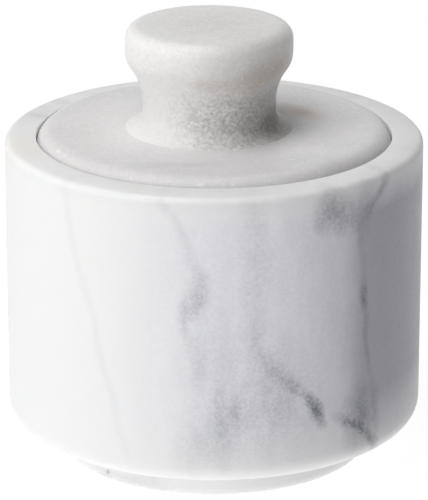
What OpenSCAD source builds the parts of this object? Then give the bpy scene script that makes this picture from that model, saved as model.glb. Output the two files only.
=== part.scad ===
// Salt cellar of turned white marble, in three stones: a footed pot, a lid that drops
// into a seat cut inside the rim, and a waisted knob bonded on top of the lid.
// Millimetres, +Z up. The origin is the centre of the foot's underside.
// Every stone is one revolved section: a polygon through the points where its lines and
// arcs meet, with a disc added at each convex arc and one taken off at each hollow arc.

/* [Pot] */
// Outside diameter of the pot
pot_d = 95; // [92:1:110]
// Height of the rim above the table
pot_h = 74.4; // [60:0.2:100]
// Width of the rim, outside the lid's seat
rim_w = 6.9; // [6:0.1:8]
// Rounding of the rim's outer edge
rim_edge = 1.5; // [0.5:0.1:3]
// Rounding of the rim's inner edge
seat_edge = 0.3; // [0.2:0.1:1]
// Rounding where the side turns under
low_edge = 4.92; // [3:0.06:6.6]
// Rise of the underside for each millimetre out from the foot
under_rise = 0.225; // [0.1:0.025:0.3]

/* [Foot] */
// Diameter of the turned foot
foot_d = 71.6; // [60:0.2:74]
// Height of the foot below the pot
foot_h = 5.7; // [3:0.1:8]
// Rounding of the foot's lower edge
foot_edge = 1.8; // [0.5:0.1:2.8]

/* [Salt bowl] */
// Inside diameter of the bowl
bowl_d = 71; // [64:1:72]
// Thickness of the stone under the bowl
bowl_floor = 14; // [12:0.5:20]
// Radius between the bowl's wall and its floor
bowl_edge = 12; // [6:1:18]
// Rounding of the ledge that carries the lid
ledge_edge = 0.8; // [0.4:0.1:1.2]

/* [Lid] */
// Thickness of the lid
lid_t = 8; // [7:0.5:10]
// Height of the lid's top above the rim
lid_proud = 1.7; // [1:0.1:2.5]
// Gap between the lid and the wall of its seat
lid_gap = 0.3; // [0.3:0.1:0.8]
// Rounding of the lid's upper edge
lid_edge = 3.8; // [2:0.1:4.5]
// Rounding of the lid's lower edge
lid_under_edge = 0.6; // [0.3:0.1:1.2]

/* [Knob] */
// Diameter of the knob's cap, and of its flared base
knob_d = 38; // [34:0.5:44]
// Diameter of the waist
waist_d = 30.3; // [26:0.1:32]
// Height of the waist's straight stretch
waist_h = 2.1; // [0.5:0.1:5]
// Radius of the hollow curve under the cap
hollow_r = 13.5; // [10:0.5:18]
// Radius of the cap's lower curve
cap_low_r = 5.75; // [4:0.25:8]
// Height of the cap's straight side
cap_side = 3.15; // [1:0.05:6]
// Rounding of the cap's upper edge
cap_edge = 3; // [1:0.1:4]
// Thickness of the flared base at its rim
toe_t = 0.25; // [0.2:0.05:0.6]
// How far to the left of the lid's centre the knob was bonded
knob_off = 1.1; // [0:0.1:2]

/* [Hidden] */
$fn = 180;
pot_r = pot_d / 2;
foot_r = foot_d / 2;
bowl_r = bowl_d / 2;
seat_r = pot_r - rim_w;
seat_z = pot_h + lid_proud - lid_t;

// The low edge's arc starts on the rising underside and ends on the side
low_arc_r = pot_r - low_edge;
under_turn = atan(under_rise);
low_start_r = low_arc_r + low_edge * sin(under_turn);
low_start = [low_start_r, foot_h + (low_start_r - foot_r) * under_rise];
low_arc_z = low_start.y + low_edge * cos(under_turn);

lid_r = seat_r - lid_gap;

knob_r = knob_d / 2;
waist_r = waist_d / 2;
flare_r = knob_r - waist_r;
waist_low = toe_t + flare_r;
waist_top = waist_low + waist_h;
// The hollow arc and the cap's lower arc meet where both lean out by this angle
turn = acos(1 - flare_r / (hollow_r + cap_low_r));
turn_at = [waist_r + hollow_r * (1 - cos(turn)), waist_top + hollow_r * sin(turn)];
cap_z = turn_at.y + cap_low_r * sin(turn);
knob_h = cap_z + cap_side + cap_edge;

// A disc of a section, by its centre and radius
module disc(at, r) {
    translate(at)
        circle(r);
}

module pot_section() {
    difference() {
        union() {
            polygon([
                [0, 0],
                [foot_r - foot_edge, 0],
                [foot_r, foot_edge],
                [foot_r, foot_h],
                low_start,
                [pot_r, low_arc_z],
                [pot_r, pot_h - rim_edge],
                [pot_r - rim_edge, pot_h],
                [seat_r + seat_edge, pot_h],
                [seat_r, pot_h - seat_edge],
                [seat_r, seat_z],
                [bowl_r + ledge_edge, seat_z],
                [bowl_r, seat_z - ledge_edge],
                [bowl_r, bowl_floor + bowl_edge],
                [bowl_r - bowl_edge, bowl_floor],
                [0, bowl_floor]
            ]);
            disc([foot_r - foot_edge, foot_edge], foot_edge);
            disc([low_arc_r, low_arc_z], low_edge);
            disc([pot_r - rim_edge, pot_h - rim_edge], rim_edge);
            disc([seat_r + seat_edge, pot_h - seat_edge], seat_edge);
            disc([bowl_r + ledge_edge, seat_z - ledge_edge], ledge_edge);
        }
        disc([bowl_r - bowl_edge, bowl_floor + bowl_edge], bowl_edge);
    }
}

module lid_section() {
    polygon([
        [0, 0],
        [lid_r - lid_under_edge, 0],
        [lid_r, lid_under_edge],
        [lid_r, lid_t - lid_edge],
        [lid_r - lid_edge, lid_t],
        [0, lid_t]
    ]);
    disc([lid_r - lid_under_edge, lid_under_edge], lid_under_edge);
    disc([lid_r - lid_edge, lid_t - lid_edge], lid_edge);
}

module knob_section() {
    difference() {
        union() {
            polygon([
                [0, 0],
                [knob_r, 0],
                [knob_r, toe_t],
                [waist_r, waist_low],
                [waist_r, waist_top],
                turn_at,
                [knob_r, cap_z],
                [knob_r, knob_h - cap_edge],
                [knob_r - cap_edge, knob_h],
                [0, knob_h]
            ]);
            disc([knob_r - cap_low_r, cap_z], cap_low_r);
            disc([knob_r - cap_edge, knob_h - cap_edge], cap_edge);
        }
        disc([knob_r, waist_low], flare_r);
        intersection() {
            disc([waist_r + hollow_r, waist_top], hollow_r);
            translate([waist_r, waist_top])
                square([flare_r, turn_at.y - waist_top]);
        }
    }
}

// The footed pot, with the bowl and the lid's seat turned into it
module pot() {
    color("#ececeb")
        rotate_extrude()
            pot_section();
}

// The lid, resting on the ledge inside the rim
module lid() {
    color("#d3d4d4")
        translate([0, 0, seat_z])
            rotate_extrude()
                lid_section();
}

// The knob, bonded by its flat base to the top of the lid
module knob() {
    color("#dddcd8")
        translate([-knob_off, 0, seat_z + lid_t])
            rotate_extrude()
                knob_section();
}

pot();
lid();
knob();
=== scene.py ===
"""A salt cellar of turned white marble: a footed pot, a lid that drops into the rim's seat, and a
waisted knob bonded on the lid. Lengths are metres; sizes typed as millimetres are times MM."""

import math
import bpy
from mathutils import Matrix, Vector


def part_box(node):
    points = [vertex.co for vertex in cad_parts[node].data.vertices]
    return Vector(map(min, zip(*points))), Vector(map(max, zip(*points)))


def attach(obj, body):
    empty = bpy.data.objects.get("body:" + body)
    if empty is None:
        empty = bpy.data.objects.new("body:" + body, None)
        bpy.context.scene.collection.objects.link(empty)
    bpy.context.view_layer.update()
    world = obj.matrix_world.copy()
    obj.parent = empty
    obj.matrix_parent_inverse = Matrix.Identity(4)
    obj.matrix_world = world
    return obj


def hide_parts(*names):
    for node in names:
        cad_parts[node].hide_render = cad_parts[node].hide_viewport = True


bl_info = {
    "name": "Marble Salt Cellar",
    "version": (1, 0, 0),
    "blender": (4, 5, 0),
    "location": "View3D > Sidebar > Salt Cellar",
    "description": "Turns the three stones of a marble salt cellar and sets up a studio",
    "category": "Add Mesh",
}

import bpy
from bpy.props import FloatProperty, FloatVectorProperty, IntProperty, PointerProperty
from mathutils import Vector

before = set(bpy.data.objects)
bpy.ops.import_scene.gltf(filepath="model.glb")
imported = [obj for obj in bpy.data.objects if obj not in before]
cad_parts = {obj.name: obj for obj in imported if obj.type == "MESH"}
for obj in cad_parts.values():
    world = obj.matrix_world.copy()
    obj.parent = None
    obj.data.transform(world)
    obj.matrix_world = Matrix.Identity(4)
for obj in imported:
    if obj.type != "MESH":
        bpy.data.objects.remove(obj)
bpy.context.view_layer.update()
POT_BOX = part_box("pot")
LID_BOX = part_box("lid")
KNOB_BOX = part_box("knob")

MM = 0.001
# Length of a mesh cell along a stone's outline
CELL = 1.0 * MM
# Widest turn from one cell of a rounding to the next, in degrees
ROUNDING_TURN = 15
# Vertices nearer than this are the same point of a seam or a pole
WELD = 0.005 * MM
# Faces that meet at more than this keep a sharp edge
SMOOTH_ANGLE = math.radians(40)

# Half the depth of a vein's lenses, in millimetres
VEIN_DEPTH = 14
# Distance from the knob's axis to the middle of its lenses, in millimetres
KNOB_LENS_RADIUS = 16
# How many of the turning tool's fine rings fit a millimetre
RINGS = 1.4
# Share of the relief that follows single crystals, and how far their roughness varies either way
CRYSTAL_RELIEF = 0.35
CRYSTAL_SHINE = 0.08

# Distance from the pot to the lamps
LAMP_DISTANCE = 1.1
# Where the photograph was taken from: the place, the tilt up from straight down, and the lens
CAMERA_PLACE = (0, -0.77954, 0.31534)
CAMERA_TILT = math.radians(70.958)
CAMERA_LENS = 258.54
CAMERA_SENSOR = 36
# Side of the square table
TABLE_SIDE = 6
# Grey of the table as light on the stones, its glow as it is seen, and the grey on which the
# stones' shadow is seen
TABLE_GREY = (0.35, 0.35, 0.35, 1)
TABLE_WHITE = 0.93
SHADOW_GREY = (0.15, 0.15, 0.15, 1)


def linear(colour):
    """An sRGB hex colour such as "#F0EFEC" as linear red, green and blue."""
    channels = [int(colour[i:i + 2], 16) / 255 for i in (1, 3, 5)]
    return [c / 12.92 if c <= 0.04045 else ((c + 0.055) / 1.055) ** 2.4 for c in channels]


def length(name, description, default):
    """A length that a user can change, in metres."""
    return FloatProperty(
        name=name, description=description, default=default, min=0,
        unit="LENGTH", subtype="DISTANCE",
    )


def colour(name, description, default):
    """A colour that a user can change, from its sRGB hex value."""
    return FloatVectorProperty(
        name=name, description=description, default=linear(default), min=0, max=1,
        size=3, subtype="COLOR",
    )


class PotSizes(bpy.types.PropertyGroup):
    """Sizes of the pot's half section"""
    radius: length("Pot radius", "Outside radius of the pot", POT_BOX[1].x)
    height: length("Pot height", "Height of the rim above the table", POT_BOX[1].z)
    rim_width: length("Rim width", "Width of the rim, whose seat fits close round the lid", 7.1 * MM)
    rim_edge: length("Rim rounding", "Rounding of the rim's outer edge", 1.5 * MM)
    rim_crown: length("Rim crown", "Width of the rim's flat top, inside its gentle fall", 1.2 * MM)
    rim_fall: FloatProperty(
        name="Rim fall", description="Slope that the rim reaches before its outer rounding",
        default=math.radians(7), min=0, max=math.radians(20), unit="ROTATION", subtype="ANGLE",
    )
    seat_edge: length("Seat rounding", "Rounding of the rim's inner edge", 0.3 * MM)
    seat_height: length("Seat height", "Height of the ledge that carries the lid", LID_BOX[0].z)
    ledge_edge: length("Ledge rounding", "Rounding of the ledge that carries the lid", 0.8 * MM)
    low_edge: length("Low rounding", "Rounding where the side turns under", 4.92 * MM)
    under_rise: FloatProperty(
        name="Underside rise", description="Rise of the underside over its width", default=0.225,
        min=0, max=0.5,
    )
    foot_radius: length("Foot radius", "Radius of the turned foot", 35.8 * MM)
    foot_height: length("Foot height", "Height of the foot below the pot", 5.7 * MM)
    foot_edge: length("Foot rounding", "Rounding of the foot's lower edge", 1.8 * MM)
    bowl_radius: length("Bowl radius", "Inside radius of the bowl", 35.5 * MM)
    bowl_floor: length("Bowl floor", "Thickness of the stone under the bowl", 14 * MM)
    bowl_edge: length("Bowl rounding", "Radius between the bowl's wall and floor", 12 * MM)
    steps: IntProperty(
        name="Steps round", description="Cells round the pot", default=256, min=64, max=512
    )


class LidSizes(bpy.types.PropertyGroup):
    """Sizes of the lid's half section"""
    radius: length("Lid radius", "Outside radius of the lid", LID_BOX[1].x)
    bottom: length("Underside height", "Height of the lid's underside", LID_BOX[0].z)
    top: length("Top height", "Height of the lid's flat top", LID_BOX[1].z)
    edge: length("Upper rounding", "Rounding of the lid's upper edge", 3.8 * MM)
    under_edge: length("Lower rounding", "Rounding of the lid's lower edge", 0.6 * MM)
    steps: IntProperty(
        name="Steps round", description="Cells round the lid", default=256, min=64, max=512
    )


class KnobSizes(bpy.types.PropertyGroup):
    """Sizes of the knob's half section"""
    centre_x: FloatProperty(
        name="Centre", description="How far right of the lid's centre the knob was bonded",
        default=(KNOB_BOX[0].x + KNOB_BOX[1].x) / 2, unit="LENGTH", subtype="DISTANCE",
    )
    radius: length(
        "Knob radius", "Radius of the cap and of the flared base", (KNOB_BOX[1].x - KNOB_BOX[0].x) / 2
    )
    bottom: length("Base height", "Height of the knob's flat base", KNOB_BOX[0].z)
    top: length("Top height", "Height of the knob's flat top", KNOB_BOX[1].z)
    waist_radius: length("Waist radius", "Radius of the waist", 15.15 * MM)
    waist_height: length("Waist height", "Height of the waist's straight stretch", 2.1 * MM)
    hollow: length("Hollow radius", "Radius of the hollow curve under the cap", 13.5 * MM)
    cap_low: length("Cap's lower radius", "Radius of the cap's lower curve", 5.75 * MM)
    cap_edge: length("Cap rounding", "Rounding of the cap's upper edge", 3 * MM)
    toe: length("Toe", "Height of the flare's curve above the lid at its widest", 0.25 * MM)
    toe_edge: length("Toe edge", "Width of the toe's thin edge, rubbed down to the lid", 1 * MM)
    steps: IntProperty(
        name="Steps round", description="Cells round the knob", default=192, min=64, max=512
    )


class MarbleColours(bpy.types.PropertyGroup):
    """Colours of the three stones"""
    pot: colour("Pot", "Clear white of the pot's marble", "#F2F2F2")
    cool: colour("Cool white", "Faintly violet white of the pot away from its clear side", "#F1F1F6")
    # The haze is the stone's violet grey, and partly painted shade on the side away from the key light
    haze_and_shade: colour("Haze", "Light violet grey that fills one side of the pot", "#ADADB6")
    vein: colour("Vein", "Blue grey of the veins and clouds", "#6C6E77")
    stain: colour("Stain", "Faint cream stain in the pot's rim", "#F3EBDD")
    lid: colour("Lid", "Light grey of the lid's marble", "#E8E6E6")
    # Rust also colours the warm painted shadow beside the knob on the lid
    rust_and_shadow: colour("Rust", "Brownish stain in the lid and the knob", "#B8A08C")
    knob: colour("Knob", "White of the knob's marble", "#F3F2F1")
    # The crystal colour is also the painted shade on the knob's right side and top
    crystal: colour("Crystal", "Brown grey of the knob's darker crystals", "#8E8986")


class StudioSettings(bpy.types.PropertyGroup):
    """Strengths of the studio's light"""
    key: FloatProperty(
        name="Key", description="Power of the soft key on the left", default=4.4, min=0, unit="POWER"
    )
    top: FloatProperty(
        name="Top", description="Power of the soft light above", default=8.7, min=0, unit="POWER"
    )
    back: FloatProperty(
        name="Back", description="Power of the soft light above and behind", default=0.5, min=0,
        unit="POWER",
    )
    table: FloatProperty(
        name="Table", description="Glow of the pale table under the object", default=0.77, min=0
    )


class Outline:
    """A stone's half section, drawn in edit mode from the axis round and back to the axis."""

    def __init__(self, name, axis_x, height, steps):
        bpy.ops.object.select_all(action="DESELECT")
        bpy.ops.mesh.primitive_plane_add(size=CELL)
        self.stone = bpy.context.object
        self.stone.name = self.stone.data.name = name
        self.axis_x = axis_x
        self.steps = steps
        self.at = self.point(0, height)
        bpy.ops.object.mode_set(mode="EDIT")
        bpy.ops.mesh.merge(type="CENTER")
        bpy.ops.transform.translate(value=self.at)

    def point(self, radius, height):
        """The place at that radius and height."""
        return Vector((self.axis_x + radius, 0, height))

    def line(self, radius, height):
        """Draws a straight stretch to that radius and height."""
        end = self.point(radius, height)
        cells = max(1, round((end - self.at).length / CELL))
        step = (end - self.at) / cells
        for _ in range(cells):
            bpy.ops.mesh.extrude_region_move(TRANSFORM_OT_translate={"value": step})
        self.at = end

    def arc(self, radius, height, degrees):
        """Draws a round stretch about that radius and height, anticlockwise for positive degrees."""
        centre = self.point(radius, height)
        arm = self.at - centre
        turn = math.radians(degrees)
        cells = math.ceil(max(abs(degrees) / ROUNDING_TURN, arm.length * abs(turn) / CELL))
        bpy.ops.mesh.spin(
            steps=cells, angle=abs(turn), center=centre, axis=(0, math.copysign(1, degrees), 0)
        )
        cos, sin = math.cos(turn), math.sin(turn)
        self.at = centre + Vector((arm.x * cos - arm.z * sin, 0, arm.x * sin + arm.z * cos))

    def spin(self):
        """Turns the outline round its axis into a closed stone, and returns it."""
        bpy.ops.mesh.select_all(action="SELECT")
        bpy.ops.mesh.spin(
            steps=self.steps, angle=2 * math.pi, center=(self.axis_x, 0, 0), axis=(0, 0, 1)
        )
        bpy.ops.mesh.select_all(action="SELECT")
        bpy.ops.mesh.remove_doubles(threshold=WELD)
        bpy.ops.mesh.normals_make_consistent(inside=False)
        bpy.ops.object.mode_set(mode="OBJECT")
        bpy.ops.object.shade_smooth_by_angle(angle=SMOOTH_ANGLE)
        return self.stone


def finish_stone(stone, node, body, material):
    """Gives a finished stone its marble and its body, and hides the part that it stands for."""
    stone.data.materials.clear()
    stone.data.materials.append(material)
    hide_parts(node)
    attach(stone, body)


def add(tree, kind, feeds=None, **settings):
    """Adds a node, gives it its settings, and feeds its inputs with values, outputs or nodes."""
    node = tree.nodes.new(kind)
    for name, value in settings.items():
        setattr(node, name, value)
    for socket, value in (feeds or {}).items():
        if isinstance(value, bpy.types.Node):
            value = value.outputs[0]
        if isinstance(value, bpy.types.NodeSocket):
            tree.links.new(value, node.inputs[socket])
        else:
            node.inputs[socket].default_value = value
    return node


def place_in_mm(tree):
    """The place in the stone, in millimetres of the object's own frame."""
    coordinates = add(tree, "ShaderNodeTexCoord")
    return add(
        tree, "ShaderNodeMapping",
        {"Vector": coordinates.outputs["Object"], "Scale": (1 / MM,) * 3},
    )


def drifted(tree, place, size, reach):
    """The place moved by soft noise, so that what is drawn there wanders as it does in stone."""
    noise = add(tree, "ShaderNodeTexNoise", {"Vector": place, "Scale": 1 / size})
    shift = add(
        tree, "ShaderNodeVectorMath",
        {0: noise.outputs["Color"], 1: (-0.5, -0.5, -0.5)}, operation="ADD",
    )
    return add(
        tree, "ShaderNodeVectorMath",
        {0: shift, 1: (2 * reach,) * 3, 2: place}, operation="MULTIPLY_ADD",
    )


def lenses(tree, place, shapes):
    """The summed darkness of lens-shaped bodies, each with its place, turn, half sizes and darkness."""
    total = 0.0
    for at, turn, half, darkness in shapes:
        local = add(
            tree, "ShaderNodeMapping",
            {"Vector": place, "Location": at, "Rotation": turn, "Scale": half},
            vector_type="TEXTURE",
        )
        body = add(tree, "ShaderNodeTexGradient", {"Vector": local}, gradient_type="SPHERICAL")
        total = add(
            tree, "ShaderNodeMath",
            {0: body.outputs["Fac"], 1: darkness, 2: total}, operation="MULTIPLY_ADD",
        )
    return total


def on_side(radius, angle, height, lean, half_width, half_length, half_depth, darkness):
    """A lens on a round side: angle in degrees right of the front, lean in degrees right of upright."""
    a = math.radians(angle)
    at = (radius * math.sin(a), -radius * math.cos(a), height)
    return at, (0, math.radians(lean), a), (half_width, half_depth, half_length), darkness


def strand(radius, half_width, darkness, places):
    """Lenses along a vein in a round side, through places of angle and height. Each is twice as long
    as its stretch, so that they run into each other."""
    shapes = []
    for (angle, height), (next_angle, next_height) in zip(places, places[1:]):
        across = radius * math.radians(next_angle - angle)
        up = next_height - height
        lean = math.degrees(math.atan2(across, up))
        shapes.append(on_side(
            radius, (angle + next_angle) / 2, (height + next_height) / 2, lean,
            half_width, math.hypot(across, up), VEIN_DEPTH, darkness,
        ))
    return shapes


def on_top(x, y, z, heading, half_width, half_length, half_depth, darkness):
    """A lens in a level face: heading in degrees anticlockwise from the right."""
    return (x, y, z), (0, 0, math.radians(heading)), (half_length, half_width, half_depth), darkness


def new_marble(name, depth):
    """A new stone, lit to that depth in millimetres: its material, tree, shader and place."""
    material = bpy.data.materials.new(name)
    material.use_nodes = True
    tree = material.node_tree
    shader = tree.nodes["Principled BSDF"]
    # Calcite: IOR about 1.5, and red light goes a little further into the stone than blue
    shader.inputs["IOR"].default_value = 1.5
    # Honed and never sealed, so its sheen is weak
    shader.inputs["Specular IOR Level"].default_value = 0.3
    shader.inputs["Subsurface Weight"].default_value = 1
    shader.inputs["Subsurface Radius"].default_value = (1.0, 0.95, 0.9)
    shader.inputs["Subsurface Scale"].default_value = depth * MM
    return material, tree, shader, place_in_mm(tree)


def painted(tree, base, layers):
    """The base colour with other colours laid over it, each by its share from 0 to 1."""
    colour = (*base, 1)
    for share, layer in layers:
        mix = add(tree, "ShaderNodeMix", {0: share, 6: colour, 7: (*layer, 1)}, data_type="RGBA")
        colour = mix.outputs[2]
    return colour


def crystals(tree, place, size):
    """Calcite crystals of about that size: three random tones from 0 to 1 for each."""
    cells = add(
        tree, "ShaderNodeTexVoronoi",
        {"Vector": drifted(tree, place, size=2 * size, reach=0.2 * size), "Scale": 1 / size},
    )
    return add(tree, "ShaderNodeSeparateColor", {"Color": cells.outputs["Color"]})


def turning_marks(tree, place):
    """Fine rings that the turning tool left, with the radius and the level that they depend on."""
    flat = add(tree, "ShaderNodeVectorMath", {0: place, 1: (1, 1, 0)}, operation="MULTIPLY")
    radius = add(tree, "ShaderNodeVectorMath", {0: flat}, operation="LENGTH")
    level = add(tree, "ShaderNodeSeparateXYZ", {"Vector": place})
    ring = add(tree, "ShaderNodeCombineXYZ", {"X": radius.outputs["Value"], "Z": level.outputs["Z"]})
    marks = add(tree, "ShaderNodeTexNoise", {"Vector": ring, "Scale": RINGS, "Detail": 2})
    return marks, radius.outputs["Value"], level.outputs["Z"]


def rough_grain(tree, shader, place, tone, size, depth, roughness, marks=0.0):
    """Fine relief of the honed crystals and of any turning marks, and their uneven shine."""
    swell = add(
        tree, "ShaderNodeTexNoise",
        {"Vector": place, "Scale": 1 / size, "Detail": 3, "Roughness": 0.6},
    )
    height = add(
        tree, "ShaderNodeMath",
        {0: tone, 1: CRYSTAL_RELIEF, 2: swell}, operation="MULTIPLY_ADD",
    )
    height = add(tree, "ShaderNodeMath", {0: height, 1: marks}, operation="ADD")
    bump = add(tree, "ShaderNodeBump", {"Height": height, "Distance": depth * MM})
    tree.links.new(bump.outputs[0], shader.inputs["Normal"])
    shine = add(
        tree, "ShaderNodeMapRange",
        {"Value": tone, "To Min": roughness - CRYSTAL_SHINE, "To Max": roughness + CRYSTAL_SHINE},
    )
    tree.links.new(shine.outputs[0], shader.inputs["Roughness"])


# Veins of the pot's side: half the width in millimetres, darkness, and places by their angle right
# of the front in degrees and their height in millimetres
POT_VEINS = [
    # Long faint thread down the left
    (1.7, 0.05, ((-44, 75), (-40, 59), (-33, 41), (-29, 28), (-24, 14))),
    # Streak left of the middle, with a smudge on it
    (2.0, 0.08, ((-15.5, 75), (-10, 69), (-7.2, 64), (-4.4, 57))),
    (3.2, 0.14, ((-3.4, 57), (-3.8, 52), (-7, 48))),
    (1.8, 0.16, ((-7.4, 49), (-7.8, 43.5))),
    (2.4, 0.07, ((-7.8, 44), (-4.5, 36), (-4, 29))),
    # Faint streak right of the middle
    (4.2, 0.1, ((10.2, 75), (11, 68), (12.4, 60), (10.2, 50.6), (11, 39))),
    # Slanting vein that ends in a dark fleck
    (2.8, 0.14, ((11.6, 38), (15.4, 34.8), (19.2, 32), (24, 28.4))),
    (2.2, 0.26, ((20, 31.2), (24, 28.4), (27.8, 25))),
    (2.5, 0.8, ((27.2, 26), (30, 20.4))),
    # Upright strokes in the low cloud
    (1.5, 0.12, ((1.4, 29), (1.2, 20.5))),
    (1.5, 0.14, ((5.6, 28), (6, 21))),
    # Thin dark line down the right, with a fleck on it
    (1.6, 0.14, ((42.2, 68), (42.8, 60), (43.8, 51))),
    (1.3, 0.26, ((43.8, 51), (44.6, 46.2), (45.4, 37.5), (47, 30))),
    (1.6, 0.12, ((47, 30), (49.3, 21), (50.5, 11))),
    (1.7, 0.42, ((43.7, 48.6), (44.3, 45.2))),
    # Edge of the dark corner at its foot
    (1.9, 0.4, ((36, 20.5), (41.6, 17.4), (46, 14), (50.4, 10.5))),
    # Streak up to the rim on the right
    (2.0, 0.36, ((53.4, 73), (49.6, 70), (46, 67))),
    # Sides and back
    (2.4, 0.2, ((84, 66), (92, 55), (101, 47), (113, 40))),
    (2.0, 0.3, ((113, 40), (118, 33), (121, 24))),
    (2.6, 0.14, ((132, 75), (136, 62), (134, 50), (140, 36))),
    (2.0, 0.2, ((158, 22), (166, 33), (176, 41), (190, 46))),
    (1.7, 0.34, ((190, 46), (199, 55), (203, 64))),
    (2.2, 0.1, ((222, 75), (226, 60), (224, 44), (231, 28), (229, 14))),
    (2.0, 0.14, ((248, 58), (255, 50), (265, 45))),
]

# Clouds of the pot's side: angle and height, lean right of upright in degrees, half the width, half
# the length and half the depth in millimetres, and darkness
POT_CLOUDS = [
    (-5, 51.5, 20, 5, 6.5, 8, 0.12),
    (-3, 38, 5, 8, 14, 14, 0.08),
    (3, 20.5, 0, 6.5, 12, 12, 0.2),
    (15, 27, -20, 14, 20, 14, 0.2),
    (-5, 18, 5, 6, 12, 12, 0.14),
    (33, 69, 12, 5.5, 5.8, 8, 0.48),
    (38.5, 67.5, 0, 4, 5, 6, 0.22),
    (44, 67.5, 0, 3.5, 8, 6, 0.24),
    (44, 19, 0, 7, 10, 10, 0.48),
    (112, 36, 0, 7, 12, 12, 0.3),
    (172, 26, 20, 9, 14, 14, 0.22),
    (204, 60, -30, 6, 10, 10, 0.3),
    (250, 40, 0, 12, 20, 14, 0.1),
]

# Faint grey on the rim, and painted shade on the foot's left: x, y and height in millimetres, heading
# in degrees, half the width, half the length and half the depth in millimetres, and darkness
LEVEL_CLOUDS_AND_SHADE = [
    (-41, 16, 74, 68, 7, 14, 8, 0.16),
    (-41, 14, 74, 150, 2, 7, 4, 0.14),
    (-36, 25, 74, 135, 2, 7, 4, 0.14),
    # Painted shade on the foot's left side
    (-22, -29, 2.5, -38, 9, 26, 6, 0.16),
]
# One cream stain on the rim, in the same order
RIM_STAINS = [(-42.4, -9.8, 74, -77, 8, 14, 6, 0.5)]

# One dark fleck on the foot, which is 35.8 mm in radius
FOOT_FLECK = on_side(35.8, -42, 2.5, 0, 0.8, 0.8, 2, 0.4)


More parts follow.
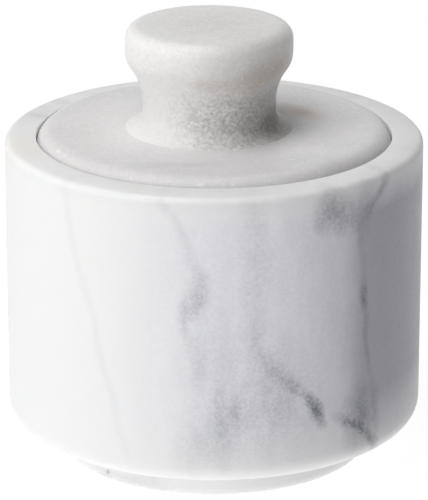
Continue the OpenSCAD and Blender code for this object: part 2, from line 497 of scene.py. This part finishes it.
def pot_marble(colours):
    """Honed white marble: clear white, a violet grey side partly painted as shade, smoky veins, soft low
    shine.
    """
    material, tree, shader, place = new_marble("honed_white_marble", depth=1.5)
    near = drifted(tree, drifted(tree, place, size=9, reach=1.2), size=2, reach=0.5)
    far = drifted(tree, near, size=18, reach=3)
    tone = crystals(tree, place, size=0.5)
    axes = add(tree, "ShaderNodeSeparateXYZ", {"Vector": near})
    # Towards +X, away from the key light, the white turns cool, then grey: stone tint, partly painted
    # shade
    cool = add(
        tree, "ShaderNodeMapRange",
        {"Value": axes.outputs["X"], "From Min": -28, "From Max": 6},
        interpolation_type="SMOOTHSTEP",
    )
    haze_and_shade = add(
        tree, "ShaderNodeMapRange",
        {"Value": axes.outputs["X"], "From Min": 10, "From Max": 42, "To Max": 0.53},
        interpolation_type="SMOOTHSTEP",
    )
    # Beyond the thin dark line it is greyer still, stone grey with more painted shade, but less so
    # towards the back
    beyond = add(
        tree, "ShaderNodeMapRange",
        {"Value": axes.outputs["X"], "From Min": 27.5, "From Max": 34, "To Max": 0.44},
        interpolation_type="SMOOTHSTEP",
    )
    in_front = add(
        tree, "ShaderNodeMapRange",
        {"Value": axes.outputs["Y"], "From Min": -12, "From Max": 22, "To Min": 1, "To Max": 0},
    )
    haze_and_shade = add(tree, "ShaderNodeMath", {0: beyond, 1: in_front, 2: haze_and_shade}, operation="MULTIPLY_ADD")
    # The foot and the rim are nearly clear of the cool tint and of the grey with its painted shade
    above_foot = add(
        tree, "ShaderNodeMapRange",
        {"Value": axes.outputs["Z"], "From Min": 7, "From Max": 24},
    )
    below_rim = add(
        tree, "ShaderNodeMapRange",
        {"Value": axes.outputs["Z"], "From Min": 66, "From Max": 74.5, "To Min": 1, "To Max": 0.04},
    )
    level = add(tree, "ShaderNodeMath", {0: above_foot, 1: below_rim}, operation="MULTIPLY")
    cool = add(tree, "ShaderNodeMath", {0: cool, 1: level}, operation="MULTIPLY")
    haze_and_shade = add(tree, "ShaderNodeMath", {0: haze_and_shade, 1: level}, operation="MULTIPLY")
    # Clouds and veins are upright wisps of fine crystals
    upright = add(tree, "ShaderNodeMapping", {"Vector": near, "Scale": (1 / 4, 1 / 4, 1 / 11)})
    wisps = add(
        tree, "ShaderNodeTexNoise",
        {"Vector": upright, "Scale": 1, "Detail": 4, "Roughness": 0.6},
    )
    wisps = add(
        tree, "ShaderNodeMapRange",
        {"Value": wisps, "From Min": 0.3, "From Max": 0.7, "To Min": 0.45, "To Max": 1.05},
    )
    wisps = add(tree, "ShaderNodeMath", {0: tone, 1: 0.5, 2: wisps}, operation="MULTIPLY_ADD")
    radius = POT_BOX[1].x / MM
    shapes = [on_side(radius, *cloud) for cloud in POT_CLOUDS]
    shapes.extend(on_top(*cloud) for cloud in LEVEL_CLOUDS_AND_SHADE)
    clouds = lenses(tree, far, shapes)
    clouds = add(tree, "ShaderNodeMath", {0: clouds, 1: wisps}, operation="MULTIPLY")
    shapes = [FOOT_FLECK]
    for vein in POT_VEINS:
        shapes.extend(strand(radius, *vein))
    veins = lenses(tree, near, shapes)
    grey = add(tree, "ShaderNodeMath", {0: veins, 1: wisps, 2: clouds}, operation="MULTIPLY_ADD")
    # The cool white holds a trace of the same wisps, where they are darker than most
    trace = add(tree, "ShaderNodeMath", {0: wisps, 1: 0.6}, operation="SUBTRACT")
    trace = add(tree, "ShaderNodeMath", {0: trace, 1: cool}, operation="MULTIPLY")
    grey = add(tree, "ShaderNodeMath", {0: trace, 1: 0.13, 2: grey}, operation="MULTIPLY_ADD")
    # Painted shade: the rim's outer edge is made a little greyer, to dim the highlight on its rounding
    painted_edge_shade = add(
        tree, "ShaderNodeMapRange",
        {"Value": axes.outputs["Z"], "From Min": 70, "From Max": 73, "To Max": 0.06},
    )
    under_top = add(
        tree, "ShaderNodeMapRange",
        {"Value": axes.outputs["Z"], "From Min": 73, "From Max": 74.2, "To Min": 1, "To Max": 0},
    )
    grey = add(
        tree, "ShaderNodeMath",
        {0: painted_edge_shade, 1: under_top, 2: grey}, operation="MULTIPLY_ADD", use_clamp=True,
    )
    stain = lenses(tree, near, [on_top(*patch) for patch in RIM_STAINS])
    colour = painted(tree, colours.pot, (
        (stain, colours.stain), (cool, colours.cool), (haze_and_shade, colours.haze_and_shade), (grey, colours.vein),
    ))
    tree.links.new(colour, shader.inputs["Base Color"])
    # The outside is honed smooth; the bowl and the foot keep some turning marks
    marks, from_axis, _ = turning_marks(tree, place)
    inside = add(
        tree, "ShaderNodeMapRange",
        {"Value": from_axis, "From Min": 36.5, "From Max": 38, "To Min": 1, "To Max": 0},
    )
    marks = add(tree, "ShaderNodeMath", {0: marks, 1: inside}, operation="MULTIPLY")
    rough_grain(
        tree, shader, place, tone.outputs["Red"], size=1.2, depth=0.03, roughness=0.42, marks=marks
    )
    return material


# Streaks in the lid's top: x, y and height in millimetres, heading in degrees, half the width, half
# the length and half the depth in millimetres, and darkness
LID_STREAKS = [
    (-9, -29, 76, 4, 3, 13, 4, 0.12),
    (25, -27, 76, -20, 8, 12, 5, 0.1),
    (32, 8, 76, 70, 4, 14, 5, 0.07),
]
# Warm brown painted shadow beside the knob, and a faint stain over the left side, in the same order
LID_STAINS_AND_SHADOW = [
    (19.5, 11, 76, -50, 5, 9, 4, 0.72),
    (-26, -6, 76, 75, 14, 26, 5, 0.07),
]
# Painted highlights on large crystals along the lid's rounded edge, in the same order
LID_PAINTED_GLINTS = [
    (-34.6, -17.2, 75.6, -64, 0.5, 1.2, 2, 1.5),
    (-33, -20, 75.6, -59, 0.4, 0.8, 2, 1.2),
    (-21, -34.2, 76, -31, 0.5, 1.2, 2, 1.5),
    (-17.5, -36, 75.6, -26, 0.5, 1.6, 2, 1.5),
    (-15, -37.2, 75.4, -22, 0.4, 0.8, 2, 1.5),
    (-3, -39.3, 75.3, -4, 0.4, 1.2, 2, 1.5),
    (4, -39.2, 75.3, 6, 0.4, 0.6, 2, 1.2),
]


def lid_marble(colours):
    """Honed light grey marble of even, sugary grain, with painted highlights on a few crystals."""
    material, tree, shader, place = new_marble("honed_grey_marble", depth=0.15)
    tone = crystals(tree, place, size=0.6)
    clouds = add(
        tree, "ShaderNodeTexNoise",
        {
            "Vector": drifted(tree, place, size=14, reach=5),
            "Scale": 1 / 16, "Detail": 4, "Roughness": 0.6,
        },
    )
    clouds = add(
        tree, "ShaderNodeMapRange",
        {"Value": clouds, "From Min": 0.4, "From Max": 0.75, "To Max": 0.08},
    )
    along = drifted(tree, place, size=6, reach=1.2)
    streaks = lenses(tree, along, [on_top(*streak) for streak in LID_STREAKS])
    grey = add(tree, "ShaderNodeMath", {0: clouds, 1: streaks}, operation="ADD")
    grey = add(
        tree, "ShaderNodeMath",
        {0: tone, 1: 0.07, 2: grey}, operation="MULTIPLY_ADD", use_clamp=True,
    )
    around = drifted(tree, place, size=3, reach=1)
    # Painted shadow: the first of these lenses darkens the lid beside the knob towards warm brown
    stain = lenses(tree, around, [on_top(*patch) for patch in LID_STAINS_AND_SHADOW])
    # Painted highlight: one crystal in about forty is painted the pot's white, as if it shone
    painted_glint = add(
        tree, "ShaderNodeMapRange",
        {"Value": tone.outputs["Green"], "From Min": 0.97, "From Max": 0.98, "To Max": 0.5},
    )
    large = lenses(tree, place, [on_top(*patch) for patch in LID_PAINTED_GLINTS])
    painted_glint = add(tree, "ShaderNodeMath", {0: painted_glint, 1: large}, operation="ADD", use_clamp=True)
    colour = painted(tree, colours.lid, (
        (stain, colours.rust_and_shadow), (grey, colours.vein), (painted_glint, colours.pot),
    ))
    tree.links.new(colour, shader.inputs["Base Color"])
    # The underside keeps its turning marks
    marks, _, level = turning_marks(tree, place)
    under = add(
        tree, "ShaderNodeMapRange",
        {"Value": level, "From Min": 69, "From Max": 70, "To Min": 1, "To Max": 0},
    )
    marks = add(tree, "ShaderNodeMath", {0: marks, 1: under}, operation="MULTIPLY")
    rough_grain(
        tree, shader, place, tone.outputs["Red"], size=1.2, depth=0.05, roughness=0.4, marks=marks
    )
    return material


# Where the knob's crystals are dark: angle right of the front, height, lean, half the width, half the
# length and half the depth in millimetres, and strength
KNOB_DARK = [(14, 80.5, 0, 15, 12, 14, 0.56)]
# Painted shade: even grey on the knob's right side, away from the key light, in the same order, and on
# its top
KNOB_PAINTED_SHADES = [
    (64, 81, 0, 13, 15, 12, 0.46),
    (80, 78.5, 90, 5, 12, 8, 0.6),
    (48, 93, 0, 24, 11, 10, 0.24),
]
KNOB_TOP_SHADE = on_top(2, 0, 101, 0, 20, 20, 8, 0.2)
# Large crystals on the flare, lighter in tone and painted white as highlights, in the same order
KNOB_BRIGHT_AND_GLINTS = [
    (-40, 79, 90, 4.5, 14, 6, 0.7),
    (0, 77.5, 90, 3, 12, 6, 0.35),
]
# Brownish stains under the knob's cap and on its flare, in the same order
KNOB_STAINS = [
    (-1, 91, 90, 2, 6, 5, 0.4),
    (42, 92.5, 80, 4.5, 11, 7, 0.7),
    (62, 78, 80, 2, 5, 5, 0.4),
    (10, 91, 90, 7, 34, 12, 0.12),
]


def knob_marble(colours):
    """Coarse white marble: sugary crystals, painted sparkle, dark round the waist, brownish by the cap,
    painted shade right and on top.
    """
    material, tree, shader, place = new_marble("coarse_white_marble", depth=0)
    tone = crystals(tree, place, size=0.56)
    large = crystals(tree, place, size=0.9)
    centre = (KNOB_BOX[0].x + KNOB_BOX[1].x) / 2 / MM
    own = add(tree, "ShaderNodeMapping", {"Vector": place, "Location": (-centre, 0, 0)})
    own = drifted(tree, own, size=5, reach=1)
    # Everywhere the crystals differ a little, and in the dark patch a lot
    dark = lenses(tree, own, [on_side(KNOB_LENS_RADIUS, *patch) for patch in KNOB_DARK])
    dark = add(tree, "ShaderNodeMath", {0: dark, 1: 0.1}, operation="ADD")
    # Painted shade on the knob's right side and top joins the dark crystals, in the crystal colour
    shapes = [on_side(KNOB_LENS_RADIUS, *patch) for patch in KNOB_PAINTED_SHADES]
    shade = lenses(tree, own, [*shapes, KNOB_TOP_SHADE])
    dark = add(
        tree, "ShaderNodeMath",
        {0: tone, 1: dark, 2: shade}, operation="MULTIPLY_ADD", use_clamp=True,
    )
    stain = lenses(tree, own, [on_side(KNOB_LENS_RADIUS, *patch) for patch in KNOB_STAINS])
    # Painted highlight: one crystal in about sixteen is painted white as if it shone, and so are the
    # large ones on the flare
    painted_glint = add(
        tree, "ShaderNodeMapRange",
        {"Value": tone.outputs["Green"], "From Min": 0.93, "From Max": 0.95, "To Max": 0.3},
    )
    bright = lenses(tree, own, [on_side(KNOB_LENS_RADIUS, *patch) for patch in KNOB_BRIGHT_AND_GLINTS])
    painted_glint = add(
        tree, "ShaderNodeMath",
        {0: large, 1: bright, 2: painted_glint}, operation="MULTIPLY_ADD", use_clamp=True,
    )
    colour = painted(tree, colours.knob, (
        (stain, colours.rust_and_shadow), (dark, colours.crystal), (painted_glint, colours.pot),
    ))
    tree.links.new(colour, shader.inputs["Base Color"])
    rough_grain(tree, shader, place, tone.outputs["Red"], size=0.9, depth=0.06, roughness=0.42)
    return material


class SALT_CELLAR_OT_pot(bpy.types.Operator):
    """Turn the footed pot, with its bowl and the lid's seat"""
    bl_idname = "salt_cellar.pot"
    bl_label = "Pot"

    def execute(self, context):
        size = context.scene.salt_pot
        low_centre = size.radius - size.low_edge
        under_turn = math.atan(size.under_rise)
        low_start = low_centre + size.low_edge * math.sin(under_turn)
        low_height = size.foot_height + (low_start - size.foot_radius) * size.under_rise
        low_centre_height = low_height + size.low_edge * math.cos(under_turn)
        seat_radius = size.radius - size.rim_width
        # The rim's top is flat by the seat, then falls in a wide arc to its outer rounding
        crown_start = seat_radius + size.rim_crown
        slope = math.sin(size.rim_fall)
        crown = (size.radius - size.rim_edge + size.rim_edge * slope - crown_start) / slope
        rim_height = size.height - crown + (crown - size.rim_edge) * math.cos(size.rim_fall)
        outline = Outline("marble_pot", 0, 0, size.steps)
        outline.line(size.foot_radius - size.foot_edge, 0)
        outline.arc(size.foot_radius - size.foot_edge, size.foot_edge, 90)
        outline.line(size.foot_radius, size.foot_height)
        outline.line(low_start, low_height)
        outline.arc(low_centre, low_centre_height, 90 - math.degrees(under_turn))
        outline.line(size.radius, rim_height)
        outline.arc(size.radius - size.rim_edge, rim_height, 90 - math.degrees(size.rim_fall))
        outline.arc(crown_start, size.height - crown, math.degrees(size.rim_fall))
        outline.line(seat_radius + size.seat_edge, size.height)
        outline.arc(seat_radius + size.seat_edge, size.height - size.seat_edge, 90)
        outline.line(seat_radius, size.seat_height)
        outline.line(size.bowl_radius + size.ledge_edge, size.seat_height)
        outline.arc(size.bowl_radius + size.ledge_edge, size.seat_height - size.ledge_edge, 90)
        outline.line(size.bowl_radius, size.bowl_floor + size.bowl_edge)
        outline.arc(size.bowl_radius - size.bowl_edge, size.bowl_floor + size.bowl_edge, -90)
        outline.line(0, size.bowl_floor)
        pot = outline.spin()
        finish_stone(pot, "pot", "pot", pot_marble(context.scene.salt_colours))
        return {"FINISHED"}


class SALT_CELLAR_OT_lid(bpy.types.Operator):
    """Turn the lid that rests on the ledge inside the rim"""
    bl_idname = "salt_cellar.lid"
    bl_label = "Lid"

    def execute(self, context):
        size = context.scene.salt_lid
        outline = Outline("marble_lid", 0, size.bottom, size.steps)
        outline.line(size.radius - size.under_edge, size.bottom)
        outline.arc(size.radius - size.under_edge, size.bottom + size.under_edge, 90)
        outline.line(size.radius, size.top - size.edge)
        outline.arc(size.radius - size.edge, size.top - size.edge, 90)
        outline.line(0, size.top)
        lid = outline.spin()
        finish_stone(lid, "lid", "lid", lid_marble(context.scene.salt_colours))
        return {"FINISHED"}


class SALT_CELLAR_OT_knob(bpy.types.Operator):
    """Turn the waisted knob bonded on top of the lid"""
    bl_idname = "salt_cellar.knob"
    bl_label = "Knob"

    def execute(self, context):
        size = context.scene.salt_knob
        flare = size.radius - size.waist_radius
        waist_low = size.bottom + size.toe + flare
        # The flare starts where the toe's thin edge ends
        toe_turn = math.asin(size.toe_edge / flare)
        waist_top = waist_low + size.waist_height
        # The hollow and the cap's lower curve meet where both lean out by this angle
        turn = math.degrees(math.acos(1 - flare / (size.hollow + size.cap_low)))
        cap_height = waist_top + (size.hollow + size.cap_low) * math.sin(math.radians(turn))
        outline = Outline("marble_knob", size.centre_x, size.bottom, size.steps)
        outline.line(size.radius, size.bottom)
        outline.line(size.radius - size.toe_edge, waist_low - flare * math.cos(toe_turn))
        outline.arc(size.radius, waist_low, math.degrees(toe_turn) - 90)
        outline.line(size.waist_radius, waist_top)
        outline.arc(size.waist_radius + size.hollow, waist_top, -turn)
        outline.arc(size.radius - size.cap_low, cap_height, turn)
        outline.line(size.radius, size.top - size.cap_edge)
        outline.arc(size.radius - size.cap_edge, size.top - size.cap_edge, 90)
        outline.line(0, size.top)
        knob = outline.spin()
        finish_stone(knob, "knob", "lid", knob_marble(context.scene.salt_colours))
        return {"FINISHED"}


class SALT_CELLAR_OT_studio(bpy.types.Operator):
    """Set up the pale floor, the soft light and the camera"""
    bl_idname = "salt_cellar.studio"
    bl_label = "Studio"

    def execute(self, context):
        scene = context.scene
        settings = scene.salt_studio
        scene.view_settings.view_transform = "Standard"
        make_floor(settings.table)
        make_room()
        make_lamp("soft_key", azimuth=-50, elevation=12, size=(0.8, 0.4), power=settings.key)
        make_lamp("soft_top", azimuth=-60, elevation=72, size=(0.8, 0.8), power=settings.top)
        make_lamp("soft_back", azimuth=165, elevation=50, size=(0.8, 0.8), power=settings.back)
        make_camera()
        return {"FINISHED"}


def make_lamp(name, azimuth, elevation, size, power):
    """Hangs a soft light that faces the pot, azimuth degrees right of the camera's side."""
    data = bpy.data.lights.new(name, "AREA")
    data.shape = "RECTANGLE"
    data.size, data.size_y = size
    data.energy = power
    lamp = bpy.data.objects.new(name, data)
    lamp.visible_camera = False
    a, e = math.radians(azimuth), math.radians(elevation)
    away = Vector((math.sin(a) * math.cos(e), -math.cos(a) * math.cos(e), math.sin(e)))
    lamp.location = Vector((0, 0, POT_BOX[1].z / 2)) + away * LAMP_DISTANCE
    lamp.rotation_euler = away.to_track_quat("Z", "Y").to_euler()
    bpy.context.scene.collection.objects.link(lamp)


def make_camera():
    """Stands the camera where the photograph was taken from."""
    data = bpy.data.cameras.new("camera")
    data.lens = CAMERA_LENS
    data.sensor_width = CAMERA_SENSOR
    camera = bpy.data.objects.new("camera", data)
    camera.location = CAMERA_PLACE
    camera.rotation_euler = (CAMERA_TILT, 0, 0)
    bpy.context.scene.collection.objects.link(camera)
    bpy.context.scene.camera = camera


def seen(tree):
    """1 where the camera, a mirror or clear glass shows the surface, and 0 for light on matt surfaces."""
    path = add(tree, "ShaderNodeLightPath")
    straight = add(
        tree, "ShaderNodeMath",
        {0: path.outputs["Is Camera Ray"], 1: path.outputs["Is Glossy Ray"]}, operation="MAXIMUM",
    )
    return add(
        tree, "ShaderNodeMath",
        {0: straight, 1: path.outputs["Is Transmission Ray"]}, operation="MAXIMUM",
    )


def make_floor(glow):
    """Lays the wide matt table, white where it is seen but for the object's shadow."""
    bpy.ops.object.select_all(action="DESELECT")
    bpy.ops.mesh.primitive_plane_add(size=TABLE_SIDE)
    floor = bpy.context.object
    floor.name = "floor"
    material = bpy.data.materials.new("white_paper")
    material.use_nodes = True
    tree = material.node_tree
    tree.nodes.clear()
    lit = add(tree, "ShaderNodeBsdfDiffuse", {"Color": TABLE_GREY})
    glowing = add(tree, "ShaderNodeEmission", {"Strength": glow})
    paper = add(tree, "ShaderNodeAddShader", {0: lit, 1: glowing})
    white = add(tree, "ShaderNodeEmission", {"Strength": TABLE_WHITE})
    shade = add(tree, "ShaderNodeBsdfDiffuse", {"Color": SHADOW_GREY})
    shown = add(tree, "ShaderNodeAddShader", {0: white, 1: shade})
    mix = add(tree, "ShaderNodeMixShader", {0: seen(tree), 1: paper, 2: shown})
    add(tree, "ShaderNodeOutputMaterial", {"Surface": mix})
    floor.data.materials.append(material)


def make_room():
    """Makes the room white where it is seen or mirrored, and dark as light on matt surfaces."""
    world = bpy.data.worlds.new("white_room")
    bpy.context.scene.world = world
    world.use_nodes = True
    tree = world.node_tree
    tree.nodes.clear()
    dim = add(tree, "ShaderNodeBackground", {"Color": (1, 1, 1, 1), "Strength": 0.0})
    white = add(tree, "ShaderNodeBackground", {"Color": (1, 1, 1, 1), "Strength": 1.0})
    mix = add(tree, "ShaderNodeMixShader", {0: seen(tree), 1: dim, 2: white})
    add(tree, "ShaderNodeOutputWorld", {"Surface": mix})


class SALT_CELLAR_PT_sidebar(bpy.types.Panel):
    """Buttons and sizes of the salt cellar"""
    bl_idname = "SALT_CELLAR_PT_sidebar"
    bl_label = "Salt Cellar"
    bl_space_type = "VIEW_3D"
    bl_region_type = "UI"
    bl_category = "Salt Cellar"

    def draw(self, context):
        for operator in OPERATORS:
            self.layout.operator(operator.bl_idname)
        for name, group in GROUPS.items():
            sizes = self.layout.box()
            for size in group.__annotations__:
                sizes.prop(getattr(context.scene, name), size)


OPERATORS = (SALT_CELLAR_OT_pot, SALT_CELLAR_OT_lid, SALT_CELLAR_OT_knob, SALT_CELLAR_OT_studio)
GROUPS = {
    "salt_pot": PotSizes, "salt_lid": LidSizes, "salt_knob": KnobSizes,
    "salt_colours": MarbleColours, "salt_studio": StudioSettings,
}
CLASSES = (*GROUPS.values(), *OPERATORS, SALT_CELLAR_PT_sidebar)


def register():
    for cls in CLASSES:
        bpy.utils.register_class(cls)
    for name, group in GROUPS.items():
        setattr(bpy.types.Scene, name, PointerProperty(type=group))


def unregister():
    for name in GROUPS:
        delattr(bpy.types.Scene, name)
    for cls in reversed(CLASSES):
        bpy.utils.unregister_class(cls)


def main():
    register()
    bpy.ops.salt_cellar.pot()
    bpy.ops.salt_cellar.lid()
    bpy.ops.salt_cellar.knob()
    bpy.ops.salt_cellar.studio()


if __name__ == "__main__":
    main()
